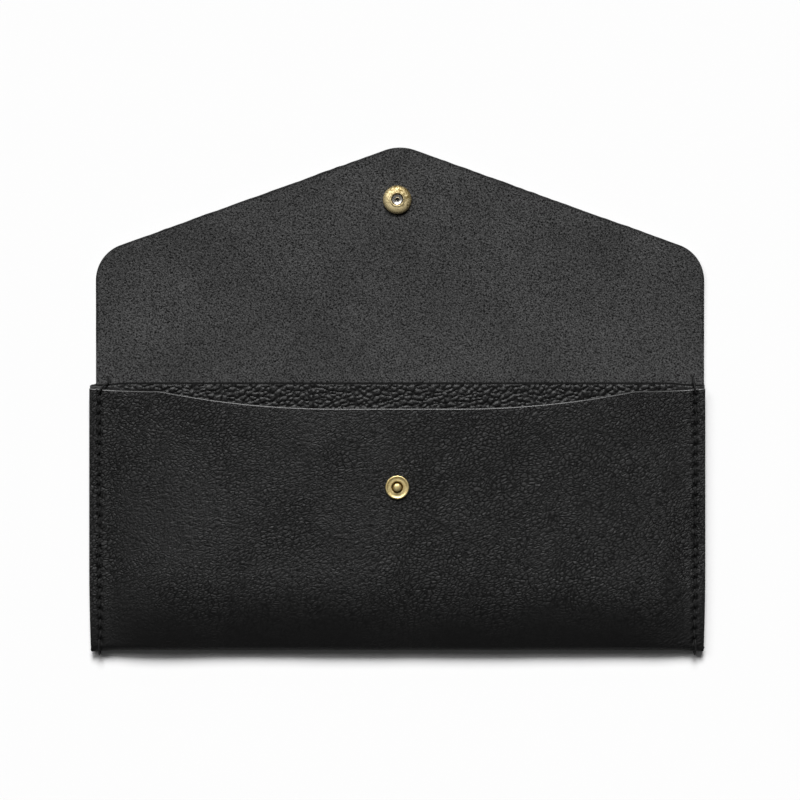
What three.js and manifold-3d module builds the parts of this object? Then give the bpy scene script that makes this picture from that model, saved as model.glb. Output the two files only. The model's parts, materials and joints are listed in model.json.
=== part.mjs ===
// A long envelope wallet in black leather, lying on its back with its flap opened flat.
// Millimetres. X runs along the fold, +Y points from the pocket to the flap's point, +Z is up.
// The origin is the middle of the pocket's top line, on the surface that the wallet lies on.

import * as THREE from "three";
import { mergeVertices } from "three/addons/utils/BufferGeometryUtils.js";
import Module from "manifold-3d";

const wasm = await Module();
wasm.setup();

// Leather and its layers
const leather = 1.6;
const dividerLeather = 1.2;
const layerGap = 0.2;

// Pocket: one sheet folded up at the bottom, so it is back, fold and front in one
const pocketWidth = 203;
const pocketHeight = 88.8;
const sideTaper = 0.6;
const taperHeight = 30;
const seamAllowance = 6;
const foldRadius = 2.9;
const foldDrawn = 1.4;
const foldReach = 16;
const flankAngle = 28 * Math.PI / 180;
const flankLength = 24;
const lipFall = 1;
const mouthReach = 34;
const mouthEnd = 1.2;
const mouthDip = 6.2;
const dipStart = 78;
const dipFlat = 20;

// Inner divider, sewn into both side seams
const dividerTop = 0.9;
const dividerDroop = 0.7;
const droopWidth = 13;
const dividerBottom = 82;
const dividerInset = 0.3;
const dividerRise = 1.2;

// Flap: straight sides, two slanting edges and a rounded point
const flapWidth = 200.5;
const shoulderHeight = 43.7;
const pointHeight = 79.7;
const shoulderRadius = 12.4;
const pointRadius = 18;
const notchStart = 0.2;
const notchEnd = 1.2;
const foldLineGap = 0.3;

// Side seams: stitch holes and waxed thread
const stitchMargin = 3.1;
const stitchPitch = 3.38;
const stitchCount = 25;
const firstStitch = 2.6;
const lipStitch = 2.6;
const threadWidth = 0.7;
const threadHeight = 0.6;
const threadSink = 0.3;
const threadLow = 0.1;
const stitchHump = 0.2;
const holeClearance = 0.2;
const edgeClearance = 0.25;

// Snap fastener: sheet brass, seated on the leather
const studHeight = 33.2;
const socketHeight = 61.6;
const snapSeat = 0.15;
const closedGap = 0.3;

const studRadius = 3.9;
const studFlange = 0.8;
const studRim = 0.5;
const studDish = 0.2;
const grooveRadius = 1.8;
const grooveDepth = 0.45;
const neckRadius = 1.25;
const ballRadius = 1.6;
const ballHeight = 1.6;
const studBore = 0.8;

const pinRadius = 0.6;
const pinFlangeRadius = 4;
const pinFlange = 0.5;
const pinTop = 1.7;
const pinHoleRadius = 0.9;

const socketRadius = 4.7;
const socketDepth = 2.25;
const socketSheet = 0.35;
const lipRadius = 2.2;
const socketHole = 1.95;
const socketBore = 1.75;
const springWire = 0.2;
const springRadius = 2.35;
const springOpening = 0.5;

const capRadius = 5.2;
const capCrown = 1.3;
const capFlat = 1.6;
const tubeRadius = 1.4;
const tubeBore = 1;
const tubeFlare = 1.85;
const tubeHoleRadius = 1.7;

// Worked out from the sizes above
const pocketHalf = pocketWidth / 2;
const flapHalf = flapWidth / 2;
const seamTop = 2 * leather + dividerLeather + 2 * layerGap;
const middleOfFold = foldRadius + (foldRadius - leather / 2) * Math.cos(flankAngle);
const studPlane = middleOfFold + Math.tan(flankAngle) * flankLength / 2 + leather / 2;
const capLift = capCrown + snapSeat;
const snapStack = snapSeat + studFlange + closedGap + snapSeat + socketDepth;
const spineLength = studPlane + snapStack + capLift - leather;
const spineStart = (socketHeight - studHeight - spineLength) / 2;
const spineEnd = spineStart + spineLength;
const seamCentre = -pocketHeight + seamTop / 2;

const clamp = THREE.MathUtils.clamp;
const lerp = THREE.MathUtils.lerp;

function ease(t) {
  return THREE.MathUtils.smoothstep(t, 0, 1);
}

// A sheet of leather: a finely divided box whose vertices are placed one by one.
// place(x station, y station, side) gives the point, side 0 below or outside and 1 above or inside.
function sheet(stationsX, stationsY, place) {
  const columns = stationsX.length - 1;
  const rows = stationsY.length - 1;
  const geometry = new THREE.BoxGeometry(columns, rows, 1, columns, rows, 1);
  const position = geometry.attributes.position;
  for (let k = 0; k < position.count; k += 1) {
    const i = Math.round(position.getX(k) + columns / 2);
    const j = Math.round(position.getY(k) + rows / 2);
    const point = place(stationsX[i], stationsY[j], position.getZ(k) > 0 ? 1 : 0);
    position.setXYZ(k, point.x, point.y, point.z);
  }
  return geometry;
}

function toSolid(geometry) {
  const bare = new THREE.BufferGeometry();
  bare.setAttribute("position", geometry.attributes.position);
  bare.setIndex(geometry.index);
  const merged = mergeVertices(bare, 1e-5);
  const index = merged.index.array;
  const kept = [];
  for (let k = 0; k < index.length; k += 3) {
    const [a, b, c] = [index[k], index[k + 1], index[k + 2]];
    if (a !== b && b !== c && c !== a) {
      kept.push(a, b, c);
    }
  }
  return new wasm.Manifold(new wasm.Mesh({
    numProp: 3,
    vertProperties: Float32Array.from(merged.attributes.position.array),
    triVerts: Uint32Array.from(kept),
  }));
}

function toGeometry(solid) {
  const mesh = solid.getMesh();
  const geometry = new THREE.BufferGeometry();
  geometry.setAttribute("position", new THREE.BufferAttribute(mesh.vertProperties, 3));
  geometry.setIndex(new THREE.BufferAttribute(mesh.triVerts, 1));
  return geometry;
}

function cut(geometry, ...tools) {
  let solid = toSolid(geometry);
  for (const tool of tools) {
    solid = solid.subtract(toSolid(tool));
  }
  return toGeometry(solid);
}

// Columns from side to side, closer together towards the sides
function gradedColumns(half, count, grading) {
  const columns = [];
  for (let i = -count; i <= count; i += 1) {
    const u = i / count;
    columns.push(half * ((1 - grading) * u + grading * Math.sin(u * Math.PI / 2)));
  }
  return columns;
}

function steps(from, to, count) {
  return Array.from({ length: count + 1 }, (_, i) => lerp(from, to, i / count));
}

// How far the pocket has swollen at x: 0 in the flat seam, 1 once it is reach away from it
function swell(x, reach) {
  const t = clamp((pocketHalf - seamAllowance - Math.abs(x)) / reach, 0, 1);
  return 1 - (1 - t) ** 4 * (1 + 4 * t);
}

// The bottom fold at x: its radius outside, its centre and the slope at which the front leaves it
function foldAt(x) {
  const opened = swell(x, foldReach);
  const radius = lerp(seamTop / 2, foldRadius, opened);
  return {
    radius,
    middleRadius: radius - leather / 2,
    centre: -pocketHeight + foldDrawn * opened + radius,
    slope: flankAngle * opened,
  };
}

// The front's top edge: level at both ends, with a long shallow dip between them
function mouthLine(x) {
  const t = clamp((dipStart - Math.abs(x)) / (dipStart - dipFlat), 0, 1);
  return -mouthEnd - mouthDip * (1 - (1 - t) ** 2);
}

// Middle of the front's leather: it leaves the fold at a slope that dies out over the flank,
// is level at the stud and falls a little towards the mouth
function frontMiddle(x, y) {
  const fold = foldAt(x);
  const start = fold.centre - fold.middleRadius * Math.sin(fold.slope);
  const startZ = fold.radius + fold.middleRadius * Math.cos(fold.slope);
  const run = Math.min(y - start, flankLength);
  const flankZ = startZ + Math.tan(fold.slope) * (run - run ** 2 / (2 * flankLength));
  const seamZ = seamTop - leather / 2;
  const open = swell(x, mouthReach);
  const mouthZ = lerp(seamZ, studPlane - leather / 2, open);
  const up = (y - start) / (mouthLine(x) - start);
  const pastStud = Math.max(y + studHeight, 0) / (mouthLine(x) + studHeight);
  return lerp(flankZ, mouthZ, ease(up)) - lipFall * open * pastStud ** 2;
}

function pocketEdge(y) {
  const taper = sideTaper * clamp((-y - pocketHeight + taperHeight) / taperHeight, 0, 1) ** 2;
  const notch = (pocketHalf - flapHalf) * ease((y - notchStart) / (notchEnd - notchStart));
  return (pocketHalf - taper - notch) / pocketHalf;
}

// Middle of the folded sheet: station 0 to 1 down the front, 1 to 2 round the fold,
// and above 2 the back, where the station is the row's number in backRows
const backRows = [-60, -20, notchStart, notchEnd, spineStart - foldLineGap / 2];

function pocketMiddle(x, station) {
  const fold = foldAt(x);
  let y;
  let z;
  if (station <= 1) {
    const start = fold.centre - fold.middleRadius * Math.sin(fold.slope);
    y = lerp(mouthLine(x), start, station);
    z = frontMiddle(x, y);
  } else if (station <= 2) {
    const angle = lerp(fold.slope, Math.PI, station - 1);
    y = fold.centre - fold.middleRadius * Math.sin(angle);
    z = fold.radius + fold.middleRadius * Math.cos(angle);
  } else {
    const row = Math.ceil(station - 2) - 1;
    const from = row === 0 ? fold.centre : backRows[row - 1];
    y = lerp(from, backRows[row], station - 2 - row);
    z = leather / 2;
  }
  return new THREE.Vector3(x * pocketEdge(y), y, z);
}

function placePocket(x, station, side) {
  const small = 0.01;
  const last = 2 + backRows.length;
  const across = pocketMiddle(x + small, station).sub(pocketMiddle(x - small, station));
  const after = pocketMiddle(x, Math.min(station + small, last));
  const along = after.sub(pocketMiddle(x, Math.max(station - small, 0)));
  const inwards = across.cross(along).normalize();
  return pocketMiddle(x, station).addScaledVector(inwards, (side - 0.5) * leather);
}

// A solid with the outline given as [y, z] pairs, width wide and centred on x
function acrossX(outline, width, x) {
  const shape = new THREE.Shape(outline.map(([y, z]) => new THREE.Vector2(y, z)));
  const geometry = new THREE.ExtrudeGeometry(shape, { depth: width, bevelEnabled: false });
  const axes = [
    new THREE.Vector3(0, 1, 0),
    new THREE.Vector3(0, 0, 1),
    new THREE.Vector3(1, 0, 0),
  ];
  geometry.applyMatrix4(new THREE.Matrix4().makeBasis(...axes));
  geometry.translate(x - width / 2, 0, 0);
  return geometry;
}

// Side seam: runs of thread on the front and under the back, joined through every hole,
// round the bottom fold and over the pocket's top edge.
// grow widens it into the grooves and holes that it lies in.
function seamThread(sideSign, grow) {
  const half = threadWidth / 2 + grow;
  const topRun = seamTop - threadSink + threadHeight;
  const topInner = seamTop - threadSink - grow;
  const bottomInner = threadLow + threadHeight + grow;
  const centreZ = (topRun + threadLow) / 2;
  const outerRadius = (topRun - threadLow) / 2 + grow;
  const innerRadius = (topRun - threadLow) / 2 - threadHeight - grow;
  const holes = Array.from({ length: stitchCount }, (_, i) => -firstStitch - i * stitchPitch);
  const overFront = -mouthEnd + edgeClearance;
  const overDivider = dividerTop - dividerDroop + edgeClearance;
  const dividerFace = seamTop - leather;
  const backFace = leather + layerGap;
  const turns = steps(0, Math.PI, 10);
  const arc = (radius) => turns.map((turn) => (
    [seamCentre - radius * Math.sin(turn), centreZ + radius * Math.cos(turn)]
  ));

  const outline = [
    [lipStitch + half, threadLow - grow],
    [lipStitch + half, backFace + threadHeight / 2 + grow],
    [overDivider + threadHeight / 2 + grow, dividerFace + threadHeight + grow],
    [overFront + threadHeight / 2 + grow, topRun + grow],
  ];
  if (grow === 0) {
    for (const hole of holes.slice(0, -1)) {
      outline.push([hole, topRun - stitchHump]);
      outline.push([hole - stitchPitch * 0.3, topRun]);
      outline.push([hole - stitchPitch * 0.7, topRun]);
    }
    outline.push([holes.at(-1), topRun - stitchHump]);
  }
  outline.push(...arc(outerRadius));

  const windows = [
    [
      [holes[0] + half, topInner],
      [holes[0] + half, bottomInner],
      [lipStitch - half, bottomInner],
      [lipStitch - half, backFace - grow],
      [overDivider - grow, dividerFace - grow],
      [overFront - grow, topInner],
    ],
    [[holes.at(-1) - half, topInner], ...arc(innerRadius), [holes.at(-1) - half, bottomInner]],
  ];
  for (const [i, hole] of holes.slice(0, -1).entries()) {
    windows.push([
      [hole - half, topInner],
      [holes[i + 1] + half, topInner],
      [holes[i + 1] + half, bottomInner],
      [hole - half, bottomInner],
    ]);
  }
  const x = sideSign * (pocketHalf - stitchMargin);
  const width = threadWidth + 2 * grow;
  return cut(
    acrossX(outline, width, x),
    ...windows.map((outlineOfWindow) => acrossX(outlineOfWindow, 2 * width, x)),
  );
}

// A turned piece: the profile holds [radius, height] pairs, from the bottom up its outside
function turned(profile, height, segments = 28) {
  const points = profile.map(([radius, z]) => new THREE.Vector2(radius, z));
  const geometry = new THREE.LatheGeometry(points, segments);
  geometry.rotateX(Math.PI / 2);
  geometry.translate(0, height.y, height.z);
  return geometry;
}

// A drill that stands upright, from the height where it starts cutting
function drill(radius, y, from) {
  const depth = 4 * leather;
  const geometry = new THREE.CylinderGeometry(radius, radius, depth, 20);
  geometry.rotateX(Math.PI / 2);
  geometry.translate(0, y, from + depth / 2);
  return geometry;
}

// Back, bottom fold and front
function shellGeometry() {
  const columns = gradedColumns(pocketHalf, 21, 0.7);
  const rows = [...steps(0, 1, 14), ...steps(1, 2, 8).slice(1)];
  for (let row = 1; row <= backRows.length; row += 1) {
    rows.push(2 + row);
  }
  return cut(
    sheet(columns, rows, placePocket),
    seamThread(-1, holeClearance),
    seamThread(1, holeClearance),
    drill(pinHoleRadius, -studHeight, studPlane - 2 * leather),
  );
}

function dividerGeometry() {
  const columns = gradedColumns(pocketHalf - dividerInset, 21, 0.7);
  const place = (x, row, side) => {
    const fromSide = (Math.abs(x) - pocketHalf + droopWidth) / droopWidth;
    const top = dividerTop - dividerDroop * ease(fromSide * 1.3);
    const y = lerp(-dividerBottom, top, row);
    const z = leather + layerGap + dividerRise * swell(x, mouthReach) + side * dividerLeather;
    return new THREE.Vector3(x * pocketEdge(y), y, z);
  };
  return cut(
    sheet(columns, [0, 0.4, 1], place),
    seamThread(-1, holeClearance),
    seamThread(1, holeClearance),
  );
}

function spineGeometry() {
  const length = spineLength - foldLineGap;
  const geometry = new THREE.BoxGeometry(flapWidth, length, leather);
  geometry.translate(0, (spineStart + spineEnd) / 2, leather / 2);
  return geometry;
}

// The flap's upper outline as a height over x: shoulder arc, slanting edge, point arc
const slope = Math.atan2(pointHeight - shoulderHeight, flapHalf);
const shoulderX = flapHalf - shoulderRadius;
const shoulderY = pointHeight - shoulderX * Math.tan(slope) - shoulderRadius / Math.cos(slope);
const pointY = pointHeight - pointRadius / Math.cos(slope);

function flapLine(x) {
  const out = Math.abs(x);
  if (out > shoulderX + shoulderRadius * Math.sin(slope)) {
    return shoulderY + Math.sqrt(Math.max(shoulderRadius ** 2 - (out - shoulderX) ** 2, 0));
  }
  if (out < pointRadius * Math.sin(slope)) {
    return pointY + Math.sqrt(pointRadius ** 2 - out ** 2);
  }
  return pointHeight - out * Math.tan(slope);
}

// The open flap lies on the snap's cap, so it rises to the cap's height
function flapLift(y) {
  const bendEnd = socketHeight - capRadius;
  return capLift * ease((y - spineEnd) / (bendEnd - spineEnd));
}

function flapGeometry() {
  const half = [];
  for (const turn of steps(0, Math.PI / 2 - slope, 8)) {
    half.push(shoulderX + shoulderRadius * Math.cos(turn));
  }
  for (const part of steps(half.at(-1), pointRadius * Math.sin(slope), 7).slice(1)) {
    half.push(part);
  }
  for (const turn of steps(slope, 0, 4).slice(1)) {
    half.push(pointRadius * Math.sin(turn));
  }
  const columns = [...half.map((x) => -x), ...half.slice(0, -1).reverse()];
  const base = spineEnd + foldLineGap / 2;
  const place = (x, row, side) => {
    const y = lerp(base, flapLine(x), row);
    return new THREE.Vector3(x, y, flapLift(y) + side * leather);
  };
  return cut(sheet(columns, steps(0, 1, 8), place), drill(tubeHoleRadius, socketHeight, -leather));
}

// Stud: dished flange with a raised rim, a groove, a neck and a ball, hollow from below
function studGeometry() {
  const flangeTop = snapSeat + studFlange;
  const ballTop = flangeTop + ballHeight;
  return turned([
    [0, ballTop - 0.5],
    [studBore, ballTop - 0.5],
    [studBore, snapSeat],
    [studRadius - 0.15, snapSeat],
    [studRadius, snapSeat + 0.2],
    [studRadius, flangeTop - 0.15],
    [studRadius - 0.15, flangeTop],
    [studRadius - studRim + 0.1, flangeTop],
    [studRadius - studRim - 0.1, flangeTop - studDish],
    [grooveRadius + 0.1, flangeTop - studDish],
    [grooveRadius - 0.1, flangeTop - grooveDepth],
    [neckRadius, flangeTop - grooveDepth],
    [neckRadius, flangeTop + 0.45 * ballHeight],
    [ballRadius, flangeTop + 0.75 * ballHeight],
    [ballRadius - 0.08, flangeTop + 0.9 * ballHeight],
    [ballRadius - 0.5, ballTop],
    [0, ballTop],
  ], { y: -studHeight, z: studPlane });
}

// Pin: riveted into the stud from behind the front
function pinGeometry() {
  const flangeTop = -leather - snapSeat;
  return turned([
    [0, flangeTop - pinFlange],
    [pinFlangeRadius - 0.15, flangeTop - pinFlange],
    [pinFlangeRadius, flangeTop - pinFlange + 0.15],
    [pinFlangeRadius, flangeTop],
    [pinRadius, flangeTop],
    [pinRadius, pinTop - 0.1],
    [pinRadius - 0.1, pinTop],
    [0, pinTop],
  ], { y: -studHeight, z: studPlane });
}

// Socket: domed ring of sheet brass closed on a base plate, with the spring inside
function socketGeometry() {
  const top = snapSeat + socketDepth;
  const baseTop = snapSeat + socketSheet;
  const profile = [
    [socketBore, snapSeat],
    [socketRadius - 0.2, snapSeat],
    [socketRadius, snapSeat + 0.25],
    [socketRadius - 0.06, top - 1.35],
    [socketRadius - 0.35, top - 0.8],
    [socketRadius - 0.95, top - 0.42],
    [socketRadius - 1.7, top - 0.24],
    [lipRadius + 0.3, top - 0.2],
    [lipRadius + 0.14, top - 0.04],
    [lipRadius, top],
    [lipRadius - 0.14, top - 0.04],
    [socketHole, top - 0.2],
    [socketHole, top - 0.2 - socketSheet],
    [socketRadius - 1.7, top - 0.24 - socketSheet],
    [socketRadius - 1.1, top - 0.42 - socketSheet],
    [socketRadius - 0.6, top - 0.8 - socketSheet],
    [socketRadius - 0.5, baseTop],
    [socketBore, baseTop],
    [socketBore, snapSeat],
  ];
  return turned(profile, { y: socketHeight, z: capLift + leather });
}

// Spring: a split ring of round wire behind the socket's lip
function springGeometry() {
  const path = new THREE.CatmullRomCurve3(
    steps(springOpening / 2, 2 * Math.PI - springOpening / 2, 24).map((turn) => (
      new THREE.Vector3(springRadius * Math.cos(turn), springRadius * Math.sin(turn), 0)
    )),
  );
  const wire = new THREE.Shape(
    steps(0, 2 * Math.PI, 8).slice(1).map((turn) => (
      new THREE.Vector2(springWire * Math.cos(turn), springWire * Math.sin(turn))
    )),
  );
  const geometry = new THREE.ExtrudeGeometry(wire, { steps: 24, extrudePath: path });
  const height = snapSeat + socketDepth - 0.2 - socketSheet - springWire - snapSeat;
  geometry.translate(0, socketHeight, capLift + leather + height);
  return toGeometry(toSolid(geometry));
}

// Cap: domed disc outside the flap, with a tube flared over the socket's base plate
function capGeometry() {
  const baseTop = leather + snapSeat + socketSheet;
  const flareFrom = baseTop + snapSeat;
  return turned([
    [0, -capLift],
    [capFlat, -capLift],
    [capRadius - 2, -capLift + 0.16],
    [capRadius - 0.9, -capLift + 0.45],
    [capRadius - 0.2, -capLift + 0.85],
    [capRadius, -snapSeat - 0.25],
    [capRadius - 0.12, -snapSeat],
    [tubeRadius, -snapSeat],
    [tubeRadius, flareFrom - 0.05],
    [tubeFlare, flareFrom],
    [tubeFlare, flareFrom + 0.12],
    [tubeFlare - 0.25, flareFrom + 0.22],
    [tubeBore + 0.15, flareFrom + 0.12],
    [tubeBore, flareFrom - 0.1],
    [tubeBore, -snapSeat - 0.3],
    [0, -snapSeat - 0.3],
  ], { y: socketHeight, z: capLift });
}

function material(colour, roughness, metalness) {
  return new THREE.MeshStandardMaterial({ color: colour, roughness, metalness });
}

const materials = {
  leather: material(0x2b2b2b, 0.55, 0),
  pebbled: material(0x252525, 0.5, 0),
  thread: material(0x141414, 0.7, 0),
  brass: material(0xb59a5c, 0.35, 1),
};

const wallet = new THREE.Group();

function add(name, geometry, slot) {
  const mesh = new THREE.Mesh(geometry, materials[slot]);
  mesh.name = name;
  wallet.add(mesh);
}

add("shell", shellGeometry(), "leather");
add("divider", dividerGeometry(), "pebbled");
add("left_seam_thread", seamThread(-1, 0), "thread");
add("right_seam_thread", seamThread(1, 0), "thread");
add("snap_stud", studGeometry(), "brass");
add("stud_pin", pinGeometry(), "brass");
add("flap_spine", spineGeometry(), "leather");
add("flap", flapGeometry(), "leather");
add("snap_socket", socketGeometry(), "brass");
add("socket_spring", springGeometry(), "brass");
add("snap_cap", capGeometry(), "brass");

export default wallet;
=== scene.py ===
import json
import math

import bmesh
import bpy
from mathutils import Matrix, Vector, noise


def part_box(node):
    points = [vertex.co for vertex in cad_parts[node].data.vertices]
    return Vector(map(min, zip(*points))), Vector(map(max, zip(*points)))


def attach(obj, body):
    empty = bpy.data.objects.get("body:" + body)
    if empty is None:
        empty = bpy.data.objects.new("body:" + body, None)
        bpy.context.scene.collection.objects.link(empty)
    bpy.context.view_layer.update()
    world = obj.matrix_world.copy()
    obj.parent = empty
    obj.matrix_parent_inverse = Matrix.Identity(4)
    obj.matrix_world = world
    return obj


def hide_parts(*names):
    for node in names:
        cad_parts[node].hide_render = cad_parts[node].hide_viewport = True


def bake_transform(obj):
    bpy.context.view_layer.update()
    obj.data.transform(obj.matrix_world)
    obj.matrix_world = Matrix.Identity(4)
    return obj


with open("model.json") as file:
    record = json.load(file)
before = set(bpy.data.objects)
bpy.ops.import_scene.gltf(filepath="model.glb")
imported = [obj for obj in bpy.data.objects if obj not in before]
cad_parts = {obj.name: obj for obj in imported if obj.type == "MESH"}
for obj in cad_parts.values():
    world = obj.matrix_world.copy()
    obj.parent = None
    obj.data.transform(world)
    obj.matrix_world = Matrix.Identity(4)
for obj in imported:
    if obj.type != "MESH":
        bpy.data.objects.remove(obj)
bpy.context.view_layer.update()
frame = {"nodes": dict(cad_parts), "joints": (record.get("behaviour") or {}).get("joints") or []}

# Pocket leather
# One sheet of black full-grain leather, folded up at the bottom: back, fold and front in one.
# It was cut with a dipped mouth and sewn down both sides, so the front swells between the seams.
# Lengths are in millimetres, and become metres where a mesh is placed.
mm = 0.001
leather = 1.6
divider_leather = 1.2
layer_gap = 0.2
seam_top = 2 * leather + divider_leather + 2 * layer_gap
seam_allowance = 6
pocket_spread = 0.3
pocket_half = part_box("shell")[1].x / mm + pocket_spread
pocket_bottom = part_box("shell")[0].y / mm

# The bottom fold: round and drawn up between the seams, pinched flat at them.
fold_radius = 2.9
fold_drawn = 1.4
corner_drawn = 1.0
drawn_reach = 9
fold_reach = 16

# The flank that rises from the fold to the belly, gentler beside the seams.
flank_angle = math.radians(28)
flank_length = 24
flank_reach = 42
flank_at_seam = 0.35

# The mouth: low in the middle, and held up there by what the pocket holds.
mouth_end = 1.7
mouth_corner_rise = 0.9
mouth_dip = 5.7
dip_start = 78
dip_flat = 20
mouth_reach = 60
lip_fall = 0.3
stud_y = (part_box("snap_stud")[0].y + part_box("snap_stud")[1].y) / 2 / mm
stud_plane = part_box("shell")[1].z / mm

# The sides: tapered at the bottom, and stepped in at the top to the narrower flap.
side_taper = 0.6
taper_height = 30
flap_spread = 0.42
flap_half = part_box("flap")[1].x / mm + flap_spread
flap_shift = 0.9
notch_start = 0.25
notch_end = 0.85

# The two lines that the flap bends at, and the cut halfway between them.
fold_line = frame["joints"][0]["pos_m"][1] / mm
flap_line = frame["joints"][1]["pos_m"][1] / mm
spine_middle = (fold_line + flap_line) / 2

# The side seams' rows of stitches.
seam_x = (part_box("right_seam_thread")[0].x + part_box("right_seam_thread")[1].x) / 2 / mm
first_stitch = -2.6
stitch_pitch = 3.38
stitch_count = 25

# Points that are closer than this are taken as one.
same_place = 0.001


def ease(t):
    """A smooth step from 0 to 1."""
    t = min(max(t, 0), 1)
    return t * t * (3 - 2 * t)


def swell(x, reach):
    """How far the leather stands open at x: 0 at the seams, and 1 further in than the reach."""
    t = min(max((pocket_half - seam_allowance - abs(x)) / reach, 0), 1)
    return 1 - (1 - t) ** 4 * (1 + 4 * t)


def fold_at(x):
    """The fold's outer radius, its middle radius and centre, and the flank's slope and start."""
    opened = swell(x, fold_reach)
    radius = seam_top / 2 + (fold_radius - seam_top / 2) * opened
    drawn = corner_drawn + (fold_drawn - corner_drawn) * ease((pocket_half - abs(x)) / drawn_reach)
    centre = pocket_bottom + drawn + radius
    slope = flank_angle * (
        flank_at_seam * opened + (1 - flank_at_seam) * swell(x, flank_reach))
    middle = radius - leather / 2
    start = centre - middle * math.sin(slope)
    return radius, middle, centre, slope, start


def mouth_line(x):
    """The y of the front's upper edge."""
    t = min(max((dip_start - abs(x)) / (dip_start - dip_flat), 0), 1)
    corner = min(max((abs(x) - dip_start) / (pocket_half - dip_start), 0), 1)
    return mouth_corner_rise * corner**2 - mouth_end - mouth_dip * (1 - (1 - t) ** 2)


def front_middle(x, y):
    """The height of the front's leather, halfway through it."""
    radius, middle, _, slope, start = fold_at(x)
    run = min(y - start, flank_length)
    flank = radius + middle * math.cos(slope)
    flank += math.tan(slope) * (run - run**2 / (2 * flank_length))
    open_here = swell(x, mouth_reach)
    seam_z = seam_top - leather / 2
    mouth = seam_z + (stud_plane - leather / 2 - seam_z) * open_here
    up = ease((y - start) / (mouth_line(x) - start))
    past_stud = max(y - stud_y, 0) / (mouth_line(x) - stud_y)
    return flank + (mouth - flank) * up - lip_fall * open_here * past_stud**2


def pocket_x(x, y):
    """The pocket's sides taper a little at the bottom and step in to the flap's at the top."""
    taper = side_taper * min(max((-y + pocket_bottom + taper_height) / taper_height, 0), 1) ** 2
    notch = ease((y - notch_start) / (notch_end - notch_start))
    half = pocket_half - taper - (pocket_half - flap_half) * notch
    return x * half / pocket_half + flap_shift * notch


def pocket_middle(x, station):
    """A point halfway through the leather: stations 0 to 1 are front, to 2 fold, to 3 back."""
    radius, middle, centre, slope, start = fold_at(x)
    if station <= 1:
        y = mouth_line(x) + (start - mouth_line(x)) * station
        z = front_middle(x, y)
    elif station <= 2:
        angle = slope + (math.pi - slope) * (station - 1)
        y = centre - middle * math.sin(angle)
        z = radius + middle * math.cos(angle)
    else:
        y = centre + (spine_middle - centre) * (station - 2)
        z = leather / 2
    return Vector((pocket_x(x, y), y, z))


# Slow waves that the leather has taken in use, as width and height of a wave, and the place in
# the noise that each is read from.
wave_height = 0.32
wave_size = (38, 26.6)
wave_place = 4.1
ripple_size = (15.2, 11.4)
ripple_place = 9.3
ripple_share = 0.5
wave_margin = 22

# The channel and holes that the stitches have pulled the leather into, and its dropped rim.
channel_depth = 0.22
channel_width = 0.8
hole_depth = 0.9
hole_width = 0.65
hole_length = 1.1
hole_slant = 0.35
rim_drop = 0.45

# All of it ends a little way round the fold, at this station.
give_end = 1.3


def off_seam(x):
    """The distance from the row of stitches on the same side."""
    return x - math.copysign(seam_x, x)


def surface_give(x, y):
    """How far the front's surface lies above its plain form."""
    wave = noise.noise(Vector((x / wave_size[0], y / wave_size[1], wave_place)))
    ripple = noise.noise(Vector((x / ripple_size[0], y / ripple_size[1], ripple_place)))
    wave += ripple_share * ripple
    calm = swell(x, wave_margin)
    channel = channel_depth * math.exp(-((off_seam(x) / channel_width) ** 2))
    phase = (first_stitch - y) / stitch_pitch
    nearest = min(max(round(phase), 0), stitch_count - 1)
    along = (first_stitch - nearest * stitch_pitch - y) / hole_length
    slant = hole_slant * along * (1 if x < 0 else -1)
    hole = hole_depth * math.exp(-(along**2) - ((off_seam(x) - slant) / hole_width) ** 2)
    rim = rim_drop * max((abs(x) - seam_x) / (pocket_half - seam_x), 0) ** 2
    return wave_height * wave * calm - channel - hole - rim


def place_pocket(x, station):
    """A point on the sheet's outer face, square to the leather from its middle."""
    step = 0.01
    low = max(station - step, 0)
    high = min(station + step, 3)
    across = pocket_middle(x + step, station) - pocket_middle(x - step, station)
    along = pocket_middle(x, high) - pocket_middle(x, low)
    inwards = across.cross(along).normalized()
    point = pocket_middle(x, station)
    give = surface_give(x, point.y) if station < give_end else 0
    return (point - inwards * (leather / 2 + give)) * mm


def side_columns(half, spacing):
    """Column places across the pocket, close together beside the seams and even between them."""
    closest = 0.27
    widening = 0.1
    outer = [half] + [seam_x - closest * k * (1 + widening * abs(k)) for k in range(-6, 9)]
    inner = outer[-1]
    count = round(inner / spacing)
    middle = [inner * i / count for i in range(count)]
    positive = sorted(set(outer + middle))
    return [-x for x in reversed(positive) if x > 0] + positive


def spread(start, end, count):
    """The ends of count equal steps from start to end."""
    return [start + (end - start) * i / count for i in range(count + 1)]


def placed_grid(columns, rows, place):
    """A grid whose points are placed one by one, with a column and a row value each."""
    shape = bmesh.new()
    across = len(columns) - 1
    up = len(rows) - 1
    bmesh.ops.create_grid(shape, x_segments=across, y_segments=up, size=1)
    for corner in shape.verts:
        i = round((corner.co.x + 1) / 2 * across)
        j = round((corner.co.y + 1) / 2 * up)
        corner.co = place(columns[i], rows[j])
    return shape


sharp_angle = math.radians(50)


def thicken(shape, thickness):
    """Gives a sheet its thickness below its face: face, underside and edge get finish 0, 1 and 2."""
    shape.normal_update()
    face = set(shape.faces)
    pushed = bmesh.ops.extrude_face_region(shape, geom=shape.faces[:], use_keep_orig=True)["geom"]
    under = {part for part in pushed if isinstance(part, bmesh.types.BMFace)}
    for corner in [part for part in pushed if isinstance(part, bmesh.types.BMVert)]:
        corner.co -= corner.normal * thickness * mm
    for part in shape.faces:
        part.material_index = 0 if part in face else 1 if part in under else 2
    bmesh.ops.recalc_face_normals(shape, faces=shape.faces[:])


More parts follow.
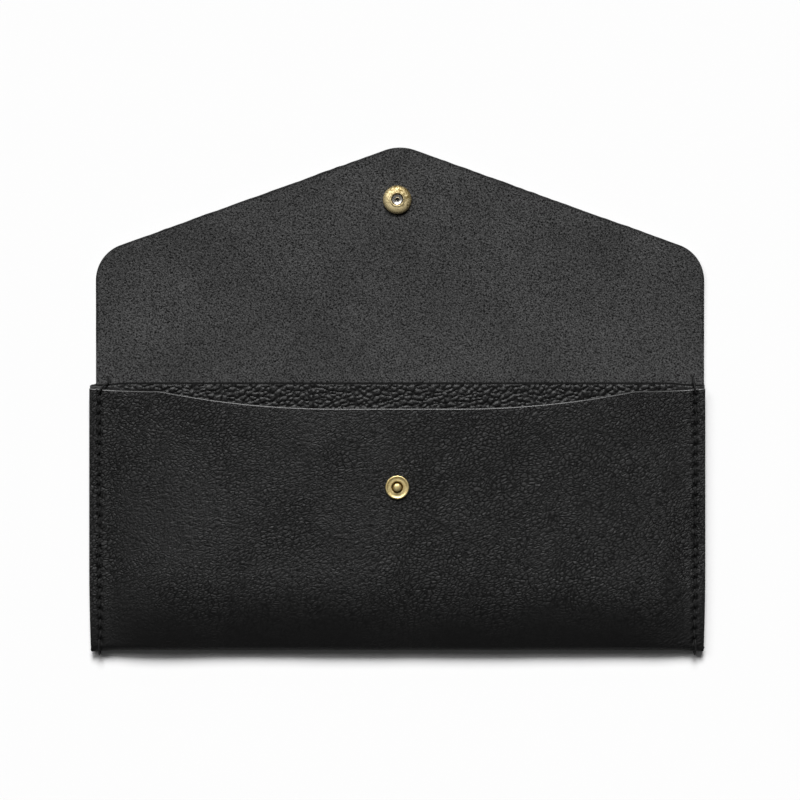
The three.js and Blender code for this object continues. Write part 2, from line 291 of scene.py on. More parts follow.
def sheet_corners(shape, cut_y):
    """The lines between a sheet's faces and its edge, apart from those of the cut at cut_y."""
    corners = []
    for line in shape.edges:
        on_cut = all(abs(end.co.y - cut_y * mm) < same_place * mm for end in line.verts)
        if not on_cut and len({part.material_index == 2 for part in line.link_faces}) == 2:
            corners.append(line)
    return corners


def round_off(shape, lines, width, segments, finish=-1):
    """Rounds the lines, as an edge that was rubbed or tumbled."""
    bmesh.ops.bevel(shape, geom=lines, offset=width * mm, segments=segments, profile=0.5,
                    affect="EDGES", material=finish)


def keep(name, shape, finishes):
    """The bmesh as an object of its own, shaded smooth between its sharp edges."""
    mesh = bpy.data.meshes.new(name)
    shape.to_mesh(mesh)
    shape.free()
    for finish in finishes:
        mesh.materials.append(finish)
    mesh.shade_smooth()
    mesh.set_sharp_from_angle(angle=sharp_angle)
    piece = bpy.data.objects.new(name, mesh)
    bpy.context.scene.collection.objects.link(piece)
    return piece


def colour(code):
    """An sRGB hex value as the linear colour that a shader takes."""
    parts = [int(code[i : i + 2], 16) / 255 for i in (1, 3, 5)]
    linear = [p / 12.92 if p <= 0.04045 else ((p + 0.055) / 1.055) ** 2.4 for p in parts]
    return (*linear, 1)


def node(tree, kind, inputs=(), **settings):
    """Adds a node with its settings, and sets or links its inputs."""
    made = tree.nodes.new(kind)
    for key, value in settings.items():
        setattr(made, key, value)
    for key, value in dict(inputs).items():
        if isinstance(value, bpy.types.NodeSocket):
            tree.links.new(value, made.inputs[key])
        else:
            made.inputs[key].default_value = value
    return made


def new_finish(name):
    """An empty material, and its node tree."""
    finish = bpy.data.materials.new(name)
    finish.use_nodes = True
    tree = finish.node_tree
    tree.nodes.clear()
    return finish, tree


# Full-grain leather, drum dyed black and lightly waxed: fine creases that run slantwise
# across the hide, with a satin sheen on their crests; their valleys are painted near black and
# their crests lighter, as painted shade. Patches of the hide are smoother than others. Round the
# bottom fold it is stretched: flatter and duller, and its colour is painted darker as painted shade.
crease_bend = 2.6
grain, tree = new_finish("full_grain_leather")
place = node(tree, "ShaderNodeTexCoord")
bend_noise = node(tree, "ShaderNodeTexNoise", {
    "Vector": place.outputs["Object"], "Scale": 1 / (14 * mm), "Detail": 2})
bent = node(tree, "ShaderNodeMixRGB", {
    "Fac": crease_bend * mm, "Color1": place.outputs["Object"], "Color2": bend_noise.outputs["Color"]},
    blend_type="LINEAR_LIGHT")
turned_vector = node(tree, "ShaderNodeMapping", {
    "Vector": bent.outputs["Color"], "Rotation": (0, 0, math.radians(33)),
    "Scale": (1.55, 0.85, 1)}, vector_type="TEXTURE")
creases = node(tree, "ShaderNodeTexVoronoi", {
    "Vector": turned_vector.outputs["Vector"], "Scale": 1 / (1.1 * mm), "Randomness": 1},
    feature="DISTANCE_TO_EDGE")
crease_height = node(tree, "ShaderNodeMapRange", {
    "Value": creases.outputs["Distance"], "From Max": 0.26}, interpolation_type="SMOOTHSTEP")
oblique = node(tree, "ShaderNodeMapping", {
    "Vector": place.outputs["Object"], "Rotation": (0.6, 0.4, 0.3)})
wrinkles = node(tree, "ShaderNodeTexNoise", {
    "Vector": oblique.outputs["Vector"], "Scale": 1 / (0.95 * mm), "Detail": 3,
    "Roughness": 0.6, "Distortion": 0.5})
patches = node(tree, "ShaderNodeTexNoise", {
    "Vector": place.outputs["Object"], "Scale": 1 / (26 * mm), "Detail": 3})
patch_amount = node(tree, "ShaderNodeMapRange", {
    "Value": patches.outputs["Fac"], "From Min": 0.38, "From Max": 0.62,
    "To Min": 0.15, "To Max": 0.5})
height = node(tree, "ShaderNodeMix", {
    0: patch_amount.outputs["Result"], 2: wrinkles.outputs["Fac"],
    3: crease_height.outputs["Result"]})
stretch_and_shade_mask = node(tree, "ShaderNodeAttribute", attribute_name="stretch_and_painted_shade")
strength = node(tree, "ShaderNodeMapRange", {
    "Value": stretch_and_shade_mask.outputs["Fac"], "To Min": 1, "To Max": 0.6})
relief = node(tree, "ShaderNodeBump", {
    "Height": height.outputs[0], "Strength": strength.outputs["Result"], "Distance": 0.42 * mm})
# The creases' valleys are painted near black and their crests lighter, as painted shade.
painted_crease_shade = node(tree, "ShaderNodeMapRange", {
    "Value": height.outputs[0], "From Min": 0.3, "From Max": 0.75})
tone = node(tree, "ShaderNodeMix", {
    0: painted_crease_shade.outputs["Result"], 6: colour("#020202"), 7: colour("#282828")}, data_type="RGBA")
# Round the fold the colour is painted darker still, as painted shade where the leather turns from the
# light.
fold_painted_shade_tone = node(tree, "ShaderNodeMix", {
    0: stretch_and_shade_mask.outputs["Fac"], 6: tone.outputs[2], 7: colour("#030303")}, data_type="RGBA")
shine = node(tree, "ShaderNodeMapRange", {
    "Value": patches.outputs["Fac"], "From Min": 0.3, "From Max": 0.7,
    "To Min": 0.38, "To Max": 0.52})
fold_shine = node(tree, "ShaderNodeMix", {
    0: stretch_and_shade_mask.outputs["Fac"], 2: shine.outputs["Result"], 3: 0.68})
shader = node(tree, "ShaderNodeBsdfPrincipled", {
    "Base Color": fold_painted_shade_tone.outputs[2], "Roughness": fold_shine.outputs[0],
    "Specular IOR Level": 0.21, "Normal": relief.outputs["Normal"]})
node(tree, "ShaderNodeOutputMaterial", {"Surface": shader.outputs["BSDF"]})

# Flesh side of the same hide, dyed through and left as suede: short matt fibres, cloudy grey,
# darker where the edge dye has run in. Real fibres are finer, and are drawn 0.5 mm apart to show.
flesh, tree = new_finish("suede_flesh_side")
place = node(tree, "ShaderNodeTexCoord")
oblique = node(tree, "ShaderNodeMapping", {
    "Vector": place.outputs["Object"], "Rotation": (0.6, 0.4, 0.3)})
fibre = node(tree, "ShaderNodeTexNoise", {
    "Vector": oblique.outputs["Vector"], "Scale": 1 / (0.5 * mm), "Detail": 2, "Roughness": 0.5})
clouds = node(tree, "ShaderNodeTexNoise", {
    "Vector": place.outputs["Object"], "Scale": 1 / (30 * mm), "Detail": 4, "Roughness": 0.6})
nap = node(tree, "ShaderNodeMapRange", {
    "Value": fibre.outputs["Fac"], "From Min": 0.32, "From Max": 0.68})
nap_tone = node(tree, "ShaderNodeMix", {
    0: nap.outputs["Result"], 6: colour("#080808"), 7: colour("#5e5e5e")}, data_type="RGBA")
cloud_amount = node(tree, "ShaderNodeMapRange", {
    "Value": clouds.outputs["Fac"], "From Min": 0.35, "From Max": 0.65, "To Max": 0.3})
cloud_tone = node(tree, "ShaderNodeMix", {
    0: cloud_amount.outputs["Result"], 6: nap_tone.outputs[2], 7: colour("#1c1c1c")},
    data_type="RGBA")
rim_mask = node(tree, "ShaderNodeAttribute", attribute_name="dye_run")
flesh_tone = node(tree, "ShaderNodeMix", {
    0: rim_mask.outputs["Fac"], 6: cloud_tone.outputs[2], 7: colour("#121212")},
    data_type="RGBA")
relief = node(tree, "ShaderNodeBump", {
    "Height": fibre.outputs["Fac"], "Strength": 1, "Distance": 0.42 * mm})
shader = node(tree, "ShaderNodeBsdfPrincipled", {
    "Base Color": flesh_tone.outputs[2], "Roughness": 0.95, "Specular IOR Level": 0.1,
    "Normal": relief.outputs["Normal"]})
node(tree, "ShaderNodeOutputMaterial", {"Surface": shader.outputs["BSDF"]})

# Cut edge, dyed black and rubbed smooth with a bone, so that its corner shines as a thin line. Its
# grey, lighter than the dye, is a painted highlight on that line.
edge, tree = new_finish("burnished_edge_painted_highlight")
place = node(tree, "ShaderNodeTexCoord")
layers = node(tree, "ShaderNodeTexNoise", {
    "Vector": place.outputs["Object"], "Scale": 1 / (0.8 * mm), "Detail": 3})
# The edge's grey, lighter than its black dye, is a painted highlight on its shining line.
edge_painted_highlight_tone = node(tree, "ShaderNodeMix", {
    0: layers.outputs["Fac"], 6: colour("#242424"), 7: colour("#4c4c4c")}, data_type="RGBA")
relief = node(tree, "ShaderNodeBump", {
    "Height": layers.outputs["Fac"], "Strength": 0.3, "Distance": 0.08 * mm})
shader = node(tree, "ShaderNodeBsdfPrincipled", {
    "Base Color": edge_painted_highlight_tone.outputs[2], "Roughness": 0.38, "Normal": relief.outputs["Normal"]})
node(tree, "ShaderNodeOutputMaterial", {"Surface": shader.outputs["BSDF"]})

# Dull black edge dye, as it is left on an edge that isn't rubbed.
dyed_edge, tree = new_finish("dyed_raw_edge")
shader = node(tree, "ShaderNodeBsdfPrincipled", {
    "Base Color": colour("#0a0a0a"), "Roughness": 0.85, "Specular IOR Level": 0.15})
node(tree, "ShaderNodeOutputMaterial", {"Surface": shader.outputs["BSDF"]})

front_rows = spread(0, 1, 196)
fold_rows = spread(1, 2, 16)[1:]

# The back's rows are close together from the pocket's top line on, where it steps in and bends.
back_length = spine_middle - pocket_bottom - seam_top / 2
bend_start = 1 - spine_middle / back_length
back_rows = spread(2, 2 + bend_start, 30)[1:] + spread(2 + bend_start, 3, 44)[1:]

edge_round = 0.35
edge_segments = 3
shape = placed_grid(side_columns(pocket_half, 2)[::-1], front_rows + fold_rows + back_rows,
                    place_pocket)
thicken(shape, leather)
round_off(shape, sheet_corners(shape, spine_middle), edge_round, edge_segments, finish=2)

# The mouth's edge is rubbed to a shine and takes the edge finish with its painted highlight, and the
# sides' edges are left dull.
facing_sideways = 0.3
shape.normal_update()
for part in shape.faces:
    if part.material_index == 2 and abs(part.normal.x) > facing_sideways:
        part.material_index = 3
pocket = keep("pocket_leather", shape, [grain, flesh, edge, dyed_edge])

# The leather is stretched, and painted darker as painted shade, more and more from here down, all
# round the fold.
stretch_and_shade_start = 60
stretch_and_shade_length = 27
stretch_and_painted_shade = pocket.data.attributes.new("stretch_and_painted_shade", "FLOAT", "POINT")
stretch_and_painted_shade.data.foreach_set("value", [
    ease((-corner.co.y / mm - stretch_and_shade_start) / stretch_and_shade_length)
    for corner in pocket.data.vertices])
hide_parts("shell", "flap_spine")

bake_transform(pocket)

# Flap
# The same sheet beyond the fold line, flesh side up: straight sides, two slanting edges and a
# rounded point. It lies on the snap's cap, so it rises a little towards the point.
shoulder_height = 43.7
point_height = 79.85
shoulder_radius = 12.4
point_radius = 15
socket_y = (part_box("snap_socket")[0].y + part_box("snap_socket")[1].y) / 2 / mm
cap_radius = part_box("snap_cap")[1].x / mm
cap_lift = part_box("flap")[1].z / mm - leather
slant = math.atan2(point_height - shoulder_height, flap_half)
shoulder_x = flap_half - shoulder_radius
shoulder_y = point_height - shoulder_x * math.tan(slant) - shoulder_radius / math.cos(slant)
point_y = point_height - point_radius / math.cos(slant)

# The slanting edges were cut by hand, so they wander a little between their rounded corners.
ragged_depth = 0.13
ragged_lengths = (2.2, 7)
ragged_places = (5.5, 2.5)
ragged_margin = 6

# The flap's own slow waves, which die away at the fold and round the snap.
flap_wave_height = 0.12
flap_wave_size = (30, 24)
flap_wave_place = 1.7
flap_wave_start = 12
bend_margin = 10
snap_margin = 9
first_strip = 4
strip_end = flap_line + first_strip


def flap_outline(x):
    """The y of the flap's upper edge."""
    out = abs(x)
    if out > shoulder_x + shoulder_radius * math.sin(slant):
        return shoulder_y + math.sqrt(max(shoulder_radius**2 - (out - shoulder_x) ** 2, 0))
    if out < point_radius * math.sin(slant):
        return point_y + math.sqrt(point_radius**2 - out**2)
    ragged = sum(noise.noise(Vector((x / length, place, 0)))
                 for length, place in zip(ragged_lengths, ragged_places))
    to_corner = min(shoulder_x - out, out - point_radius * math.sin(slant), ragged_margin)
    wander = ragged_depth * ragged * max(to_corner / ragged_margin, 0)
    return point_height - out * math.tan(slant) + wander


def flap_lift(y):
    """How far the cap outside holds the flap up."""
    return cap_lift * ease((y - flap_line) / (socket_y - cap_radius - flap_line))


def flap_columns():
    """Column places across the flap, close together along its ragged edges."""
    half = [shoulder_x + shoulder_radius * math.cos(t) for t in spread(0, math.pi / 2 - slant, 20)]
    half += spread(half[-1], point_radius * math.sin(slant), 110)[1:]
    half += [point_radius * math.sin(t) for t in spread(slant, 0, 6)[1:]]
    return [-x for x in half] + half[:-1][::-1]


def place_flap(x, row):
    """A point on the flesh side: rows 0 to 1 are the strip at the fold, to 2 the rest."""
    if row <= 1:
        y = spine_middle + (strip_end - spine_middle) * row
    else:
        y = strip_end + (flap_outline(x) - strip_end) * (row - 1)
    wave = noise.noise(Vector((x / flap_wave_size[0], y / flap_wave_size[1], flap_wave_place)))
    wave *= ease((y - flap_line) / flap_wave_start) * ease((y - flap_line) / bend_margin)
    wave *= 1 - math.exp(-((x / snap_margin) ** 2) - ((y - socket_y) / snap_margin) ** 2)
    z = leather + flap_lift(y) + flap_wave_height * wave
    return Vector((x + flap_shift, y, z)) * mm


shape = placed_grid(flap_columns(), spread(0, 1, 20) + spread(1, 2, 60)[1:], place_flap)
thicken(shape, leather)
round_off(shape, sheet_corners(shape, spine_middle), edge_round, edge_segments)
flap = keep("flap_leather", shape, [flesh, grain, edge])

# The edge dye has run a little way into the flesh side.
dye_width = 0.9
dye_run = flap.data.attributes.new("dye_run", "FLOAT", "POINT")
for corner, run in zip(flap.data.vertices, dye_run.data):
    out = abs(corner.co.x / mm - flap_shift)
    slant_gap = (point_height - out * math.tan(slant) - corner.co.y / mm) * math.cos(slant)
    run.value = min(max(1 - min(flap_half - out, slant_gap) / dye_width, 0), 1)
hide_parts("flap")
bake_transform(flap)

# Divider
# A panel of shrunken-grain leather with coarse round pebbles, sewn into both side seams.
# Only its upper edge shows, behind the dipped mouth.
divider_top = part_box("divider")[1].y / mm
divider_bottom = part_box("divider")[0].y / mm
divider_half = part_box("divider")[1].x / mm
divider_reach = 34
divider_droop = 0.7
droop_width = 13
droop_pull = 1.3
divider_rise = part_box("divider")[1].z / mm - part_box("divider")[0].z / mm - divider_leather
divider_stand = 0.35

# Pebbles, their gaps, and the band below the edge that is fine enough to show them.
pebble_size = (1.9, 1.615)
pebble_place = 0.3
pebble_height = 0.42
pebble_gap = 0.32
pebble_margin = 12
pebbled_depth = 10

# The upper edge is pared thin, and that strip is dull black.
skived_width = 0.36
skived_depth = 0.5
edge_fall = 0.6

# Shrunken-grain leather: the pebbles are shaped in the mesh, and the fine pores between them
# break up their satin shine.
pebbled, tree = new_finish("pebbled_leather")
place = node(tree, "ShaderNodeTexCoord")
pores = node(tree, "ShaderNodeTexNoise", {
    "Vector": place.outputs["Object"], "Scale": 1 / (0.7 * mm), "Detail": 4})
relief = node(tree, "ShaderNodeBump", {
    "Height": pores.outputs["Fac"], "Strength": 1, "Distance": 0.14 * mm})
shader = node(tree, "ShaderNodeBsdfPrincipled", {
    "Base Color": colour("#090909"), "Roughness": 0.46, "Specular IOR Level": 0.32,
    "Normal": relief.outputs["Normal"]})
node(tree, "ShaderNodeOutputMaterial", {"Surface": shader.outputs["BSDF"]})


def divider_edge(x):
    """The y of the upper edge, which droops a little towards the seams."""
    from_side = (abs(x) - pocket_half + droop_width) / droop_width
    return divider_top + divider_stand - divider_droop * ease(from_side * droop_pull)


def place_divider(x, row):
    """A point on the upper face: rows 0 to 1 are plain, and the band to 2 is pebbled."""
    top = divider_edge(x)
    band = top - pebbled_depth
    if row <= 1:
        y = divider_bottom + (band - divider_bottom) * row
    else:
        y = band + (top - band) * (row - 1)
    near, next_near = noise.voronoi(
        Vector((x / pebble_size[0], y / pebble_size[1], pebble_place)))[0][:2]
    dome = 1 - (1 - min((next_near - near) / pebble_gap, 1)) ** 2
    z = leather + layer_gap + divider_rise * swell(x, divider_reach) + divider_leather
    z -= pebble_height * (1 - dome) * swell(x, pebble_margin)
    z -= edge_round * max(1 - (top - skived_width - y) / edge_fall, 0) ** 2
    if y > top - skived_width:
        z -= skived_depth
    return Vector((pocket_x(x, min(y, notch_start)), y, z)) * mm


divider_columns = spread(-divider_half, divider_half, 600)
skived_row = 2 - skived_width / pebbled_depth
skived_step = 0.004
divider_rows = spread(0, 1, 12) + spread(1, skived_row, 30)[1:] + [skived_row + skived_step, 2]
shape = placed_grid(divider_columns, divider_rows, place_divider)
thicken(shape, divider_leather)
for part in shape.faces:
    middle = part.calc_center_median() / mm
    if middle.y > divider_edge(middle.x) - skived_width:
        part.material_index = 2
divider = keep("divider_panel", shape, [pebbled, flesh, dyed_edge])
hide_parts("divider")
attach(divider, "pocket")

# Seam threads
# Waxed black thread, saddle stitched by hand: each stitch dips into the hole at both ends and
# leans a little, one line down each side, on the front and under the back.

# Thread twisted from three strands and waxed: the twist shows as slanting ridges. The texture's
# slanting bands repeat at 0.63 of the size that is given, which is 1.4 mm along the thread.
thread_finish, tree = new_finish("waxed_thread")
place = node(tree, "ShaderNodeTexCoord")
twist = node(tree, "ShaderNodeTexWave", {
    "Vector": place.outputs["Object"], "Scale": 1 / (2.2 * mm), "Distortion": 0.4},
    bands_direction="DIAGONAL")
relief = node(tree, "ShaderNodeBump", {
    "Height": twist.outputs["Fac"], "Strength": 0.5, "Distance": 0.06 * mm})
shader = node(tree, "ShaderNodeBsdfPrincipled", {
    "Base Color": colour("#101010"), "Roughness": 0.65, "Specular IOR Level": 0.25,
    "Normal": relief.outputs["Normal"]})
node(tree, "ShaderNodeOutputMaterial", {"Surface": shader.outputs["BSDF"]})

stitch_lean = math.radians(7)
stitch_width = 0.36
stitch_height = 0.3
stitch_length = stitch_pitch - 0.9
front_stitch_z = seam_top - 0.16
back_stitch_z = 0.32

# The last thread at the top goes over the edge to a hole in the back, a little further in.
top_hole_x = {-1: -95.7, 1: 97.9}
in_hole = seam_top - 0.6
on_face = seam_top + 0.05


def add_stitch(shape, x, y, z, lean):
    """One stitch, as a long bead that leans a little from the seam's line."""
    made = bmesh.ops.create_uvsphere(shape, u_segments=12, v_segments=8, radius=1)
    size = Matrix.Diagonal((stitch_width, stitch_height, stitch_length / 2, 1))
    turn = Matrix.Rotation(lean, 4, "Z") @ Matrix.Rotation(math.pi / 2, 4, "X")
    place_it = Matrix.Translation(Vector((x, y, z)))
    bmesh.ops.transform(shape, matrix=Matrix.Scale(mm, 4) @ place_it @ turn @ size,
                        verts=made["verts"])


def add_strand(shape, points):
    """A strand that follows the points, as a thin round bar with rounded ends."""
    curve = bpy.data.curves.new("strand", "CURVE")
    curve.dimensions = "3D"
    curve.bevel_depth = stitch_width * mm
    curve.bevel_resolution = 2
    curve.use_fill_caps = True
    line = curve.splines.new("BEZIER")
    line.bezier_points.add(len(points) - 1)
    for handle, point in zip(line.bezier_points, points):
        handle.co = Vector(point) * mm
        handle.handle_left_type = "AUTO"
        handle.handle_right_type = "AUTO"
    holder = bpy.data.objects.new("strand", curve)
    bpy.context.scene.collection.objects.link(holder)
    drawn = holder.evaluated_get(bpy.context.evaluated_depsgraph_get())
    shape.from_mesh(bpy.data.meshes.new_from_object(drawn))
    bpy.data.objects.remove(holder)


for side, name, node_name in ((-1, "left_seam_stitches", "left_seam_thread"),
                              (1, "right_seam_stitches", "right_seam_thread")):
    shape = bmesh.new()
    x = side * seam_x
    for i in range(stitch_count - 1):
        y = first_stitch - (i + 0.5) * stitch_pitch
        edge_x = pocket_x(x, y)
        add_stitch(shape, edge_x, y, front_stitch_z, side * stitch_lean)
        add_stitch(shape, edge_x, y, back_stitch_z, -side * stitch_lean)
    inner = top_hole_x[side]
    add_strand(shape, [
        (x, first_stitch, in_hole), (x, first_stitch + 0.5, on_face),
        ((x + inner) / 2, -0.1, seam_top - 0.15),
        (inner, 0.9, 3.0), (inner, 2.4, leather + 0.35), (inner, 3.4, leather - 0.4)])
    last = first_stitch - (stitch_count - 1) * stitch_pitch
    seam_radius = seam_top / 2
    loop_radius = seam_radius - 0.08
    around = [(x, last, in_hole), (x, last - 0.6, on_face)]
    for turn in spread(0, math.pi, 6):
        around.append((x, pocket_bottom + seam_radius - loop_radius * math.sin(turn),
                       seam_radius + loop_radius * math.cos(turn) + 0.12))
    around[-1] = (x, pocket_bottom + seam_radius, 0.4)
    around.append((x, last, 0.5))
    add_strand(shape, around)
    stitches = keep(name, shape, [thread_finish])
    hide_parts(node_name)
    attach(stitches, "pocket")

# Snap stud
# Stamped from sheet brass: a dished flange with a rolled rim, and a ball on a short neck.
# The pin behind the front is riveted into it.
snap_seat = 0.05
stamped_round = 0.07


def brass_finish(name, light, dark, speckle_size, shine, metal,
                 shaded_side=Vector((0, 0, 0)), middle=Vector((0, 0, 0))):
    """Sheet metal with specks of its dark tone, and more of them from the middle towards the given
    side, as painted shade on that side.
    """
    finish, tree = new_finish(name)
    place = node(tree, "ShaderNodeTexCoord")
    speckle = node(tree, "ShaderNodeTexNoise", {
        "Vector": place.outputs["Object"], "Scale": 1 / (speckle_size * mm), "Detail": 4,
        "Roughness": 0.65})
    # Specks gather towards the given side as painted shade.
    towards = node(tree, "ShaderNodeVectorMath", {
        0: place.outputs["Object"], 1: shaded_side}, operation="DOT_PRODUCT")
    speckle_and_side_shade = node(tree, "ShaderNodeMath", {
        0: speckle.outputs["Fac"], 1: towards.outputs["Value"]}, operation="ADD")
    amount = node(tree, "ShaderNodeMapRange", {
        "Value": speckle_and_side_shade.outputs[0], "From Min": 0.42 + shaded_side.dot(middle),
        "From Max": 0.66 + shaded_side.dot(middle)})
    tone = node(tree, "ShaderNodeMix", {
        0: amount.outputs["Result"], 6: colour(light), 7: colour(dark)}, data_type="RGBA")
    gloss = node(tree, "ShaderNodeMapRange", {
        "Value": speckle.outputs["Fac"], "To Min": shine - 0.08, "To Max": shine + 0.14})
    relief = node(tree, "ShaderNodeBump", {
        "Height": speckle.outputs["Fac"], "Strength": 0.25, "Distance": 0.05 * mm})
    shader = node(tree, "ShaderNodeBsdfPrincipled", {
        "Base Color": tone.outputs[2], "Metallic": metal, "Roughness": gloss.outputs["Result"],
        "Normal": relief.outputs["Normal"]})
    node(tree, "ShaderNodeOutputMaterial", {"Surface": shader.outputs["BSDF"]})
    return finish


# Pale brass is tumbled to a soft shine. In the stud's groove it is painted dark brown, as painted
# shade in the groove.
pale_brass = brass_finish("pale_brass", "#dfcd98", "#c4ac74", speckle_size=0.9, shine=0.46, metal=1)
groove_painted_shade_brass = brass_finish("groove_painted_shade_brass", "#6b5226", "#3c2c12", speckle_size=0.4, shine=0.6, metal=1)


def sharp_lines(shape):
    """The lines where a shape turns more sharply than the sharp angle."""
    return [line for line in shape.edges if line.calc_face_angle(0) > sharp_angle]


def turned(profile, y, z):
    """A piece of revolution from [radius, height] pairs, upright at x = 0."""
    shape = bmesh.new()
    corners = [shape.verts.new((radius * mm, 0, height * mm)) for radius, height in profile]
    for a, b in zip(corners, corners[1:]):
        shape.edges.new((a, b))
    if profile[0][0] > 0:
        shape.edges.new((corners[-1], corners[0]))
    bmesh.ops.spin(shape, geom=shape.verts[:] + shape.edges[:], axis=(0, 0, 1), cent=(0, 0, 0),
                   angle=2 * math.pi, steps=72, use_merge=True)
    bmesh.ops.remove_doubles(shape, verts=shape.verts[:], dist=same_place * mm)
    bmesh.ops.recalc_face_normals(shape, faces=shape.faces[:])
    bmesh.ops.translate(shape, vec=Vector((0, y, z)) * mm, verts=shape.verts[:])
    round_off(shape, sharp_lines(shape), stamped_round, segments=2)
    return shape


stud_top = stud_plane + snap_seat
shape = turned([
    [0, 1.9], [0.8, 1.9], [0.8, 0.1], [3.3, 0.1], [3.75, 0.14], [3.9, 0.4], [3.88, 0.72],
    [3.74, 0.9], [3.55, 0.95], [3.36, 0.9], [3.2, 0.78], [3.0, 0.72], [2.4, 0.74],
    [1.98, 0.78], [1.88, 0.7], [1.84, 0.2], [1.2, 0.18], [1.1, 0.7], [1.1, 1.25],
    [1.22, 1.6], [1.3, 1.88], [1.3, 2.08], [1.24, 2.24], [1.1, 2.38], [0.85, 2.48],
    [0.55, 2.53], [0, 2.54],
], stud_y, stud_top)
groove_radius = 1.92
groove_top = 1.5
# Faces in the groove take the dark brown brass, as painted shade.
for part in shape.faces:
    middle = part.calc_center_median() / mm - Vector((0, stud_y, stud_top))
    if middle.xy.length < groove_radius and middle.z < groove_top:
        part.material_index = 1
stud = keep("stud_cap", shape, [pale_brass, groove_painted_shade_brass])
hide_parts("snap_stud")
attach(stud, "pocket")

# Snap socket
# A domed ring of sheet brass, closed on its base plate over the split spring. It has browned
# with age: dark speckles on the dome, bright where the lip has been rubbed.
flap_face = leather + cap_lift

# Aged brass: a rough brown skin of oxide in specks, with more dark specks painted on the upper right
# as painted shade.
aged_and_shaded_brass = brass_finish(
    "aged_and_shaded_brass", "#ead8a8", "#7a683c", speckle_size=0.6, shine=0.52, metal=0.8,
    shaded_side=Vector((18, 26, 0)), middle=Vector((0, socket_y, 0)) * mm)
shape = turned([
    [1.75, 0.1], [4.4, 0.1], [4.66, 0.22], [4.72, 0.5], [4.66, 0.95], [4.45, 1.4],
    [4.05, 1.8], [3.5, 2.04], [2.95, 2.12], [2.62, 2.14], [2.46, 2.22], [2.36, 2.36],
    [2.2, 2.42], [2.05, 2.36], [1.96, 2.2], [1.95, 1.85], [2.6, 1.82], [3.4, 1.7],
    [3.95, 1.35], [4.2, 0.9], [4.2, 0.5], [1.75, 0.5],
], socket_y, flap_face)
socket = keep("socket_ring", shape, [aged_and_shaded_brass])
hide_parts("snap_socket")
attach(socket, "flap")

# Snap cap
# A plain domed cap outside the flap. Its hollow tube comes through the leather and is
# flared over the socket's base plate, as the ring inside the hole shows.

# The tube's flared end is nickel plated, colder and brighter than the brass round it.
plated_steel = brass_finish(
    "nickelled_steel", "#f0eee8", "#b9b6ae", speckle_size=0.6, shine=0.28, metal=1)
shape = turned([
    [0, -1.45], [1.2, -1.44], [2.4, -1.38], [3.6, -1.2], [4.5, -0.92], [5.0, -0.6],
    [5.2, -0.3], [5.1, -0.06], [1.4, -0.05], [1.4, 2.1], [1.6, 2.2], [1.84, 2.26],
    [1.86, 2.36], [1.66, 2.44], [1.42, 2.38], [1.15, 2.26], [0.9, 2.15], [0.68, 2.04],
    [0.56, 1.88], [0.5, 1.6], [0.5, -0.4], [0, -0.45],
], socket_y, cap_lift)
for part in shape.faces:
    if part.calc_center_median().z > flap_face * mm:
        part.material_index = 1
cap = keep("cap_dome", shape, [pale_brass, plated_steel])
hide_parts("snap_cap")
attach(cap, "flap")

# The spring and the pin are hidden, and keep their own plain forms in brass.
for name in ("socket_spring", "stud_pin"):
    frame["nodes"][name].data.materials.clear()
    frame["nodes"][name].data.materials.append(pale_brass)

# Studio
# White paper, one soft light from above the flap and a weaker one to its left. The room is white
# to the camera, dimmer in what shines, and gives almost no light. The paper keeps the shadow.
room_light = 0.02
room_in_gloss = 0.16
paper_lift = 0.02
paper, tree = new_finish("white_paper")
rays = node(tree, "ShaderNodeLightPath")
seen = node(tree, "ShaderNodeMath", {
    0: rays.outputs["Is Camera Ray"], 1: rays.outputs["Is Glossy Ray"]}, operation="MAXIMUM")
seen = node(tree, "ShaderNodeMath", {
    0: seen.outputs[0], 1: rays.outputs["Is Transmission Ray"]}, operation="MAXIMUM")
lift = node(tree, "ShaderNodeMath", {
    0: seen.outputs[0], 1: paper_lift}, operation="MULTIPLY")
shader = node(tree, "ShaderNodeBsdfPrincipled", {
    "Base Color": colour("#fcfcfc"), "Roughness": 0.9, "Specular IOR Level": 0.1,
    "Emission Color": colour("#ffffff"), "Emission Strength": lift.outputs[0]})
node(tree, "ShaderNodeOutputMaterial", {"Surface": shader.outputs["BSDF"]})
floor_reach = 4
shape = bmesh.new()
bmesh.ops.create_grid(shape, x_segments=1, y_segments=1, size=floor_reach)
floor = keep("floor", shape, [paper])


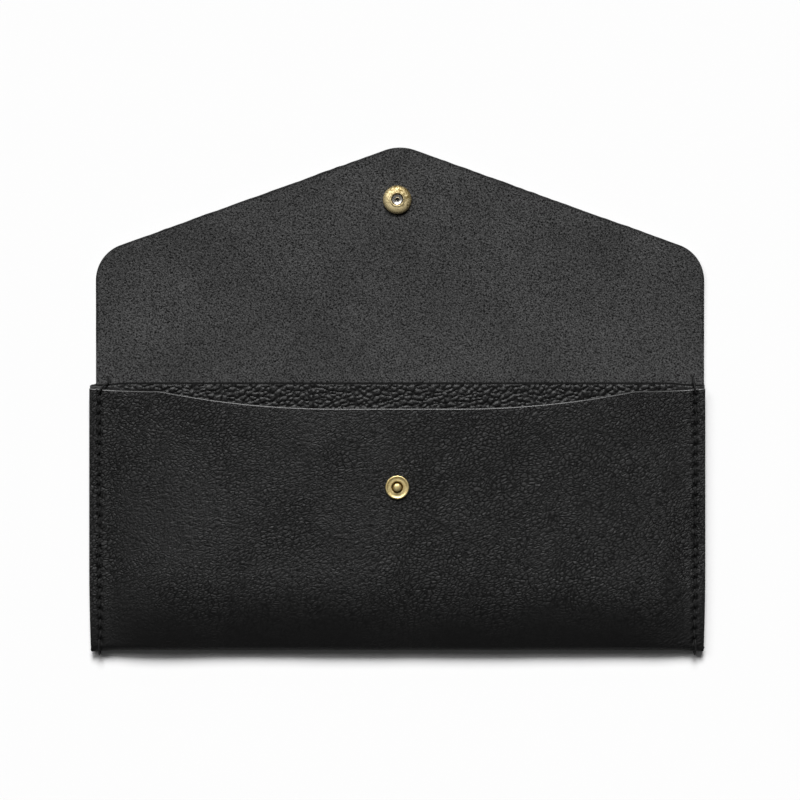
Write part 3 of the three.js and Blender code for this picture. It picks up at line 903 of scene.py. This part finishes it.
def add_sun(name, azimuth, elevation, strength, spread_angle):
    """A soft light from afar: its azimuth is counted from the flap's side, towards the right."""
    lamp = bpy.data.lights.new(name, "SUN")
    lamp.energy = strength
    lamp.angle = math.radians(spread_angle)
    holder = bpy.data.objects.new(name, lamp)
    turn = math.radians(azimuth)
    tilt = math.radians(elevation)
    towards = Vector((math.sin(turn) * math.cos(tilt), math.cos(turn) * math.cos(tilt),
                      math.sin(tilt)))
    holder.rotation_euler = towards.to_track_quat("Z", "Y").to_euler()
    bpy.context.scene.collection.objects.link(holder)


add_sun("key_light", azimuth=-2, elevation=46, strength=3.6, spread_angle=24)
add_sun("left_light", azimuth=-45, elevation=50, strength=0.6, spread_angle=26)

world = bpy.data.worlds.new("studio")
world.use_nodes = True
tree = world.node_tree
tree.nodes.clear()
rays = node(tree, "ShaderNodeLightPath")
backdrop = node(tree, "ShaderNodeMath", {
    0: rays.outputs["Is Camera Ray"], 1: rays.outputs["Is Transmission Ray"]},
    operation="MAXIMUM")
in_gloss = node(tree, "ShaderNodeMath", {
    0: rays.outputs["Is Glossy Ray"], 1: room_in_gloss}, operation="MULTIPLY")
shown = node(tree, "ShaderNodeMath", {
    0: backdrop.outputs[0], 1: in_gloss.outputs[0]}, operation="MAXIMUM")
strength = node(tree, "ShaderNodeMath", {
    0: shown.outputs[0], 1: room_light}, operation="MAXIMUM")
sky = node(tree, "ShaderNodeBackground", {
    "Color": colour("#ffffff"), "Strength": strength.outputs[0]})
node(tree, "ShaderNodeOutputWorld", {"Surface": sky.outputs["Background"]})
bpy.context.scene.world = world

# Camera: straight above, as in the photograph
camera_height = 1000
frame_width = 264
frame_middle = (0.9, -4.6)
photo_width = 36
lens = bpy.data.cameras.new("camera")
lens.sensor_width = photo_width
lens.lens = photo_width * (camera_height - seam_top) / frame_width
camera = bpy.data.objects.new("camera", lens)
camera.location = Vector((*frame_middle, camera_height)) * mm
bpy.context.scene.collection.objects.link(camera)
bpy.context.scene.camera = camera
bpy.context.scene.view_settings.view_transform = "Standard"
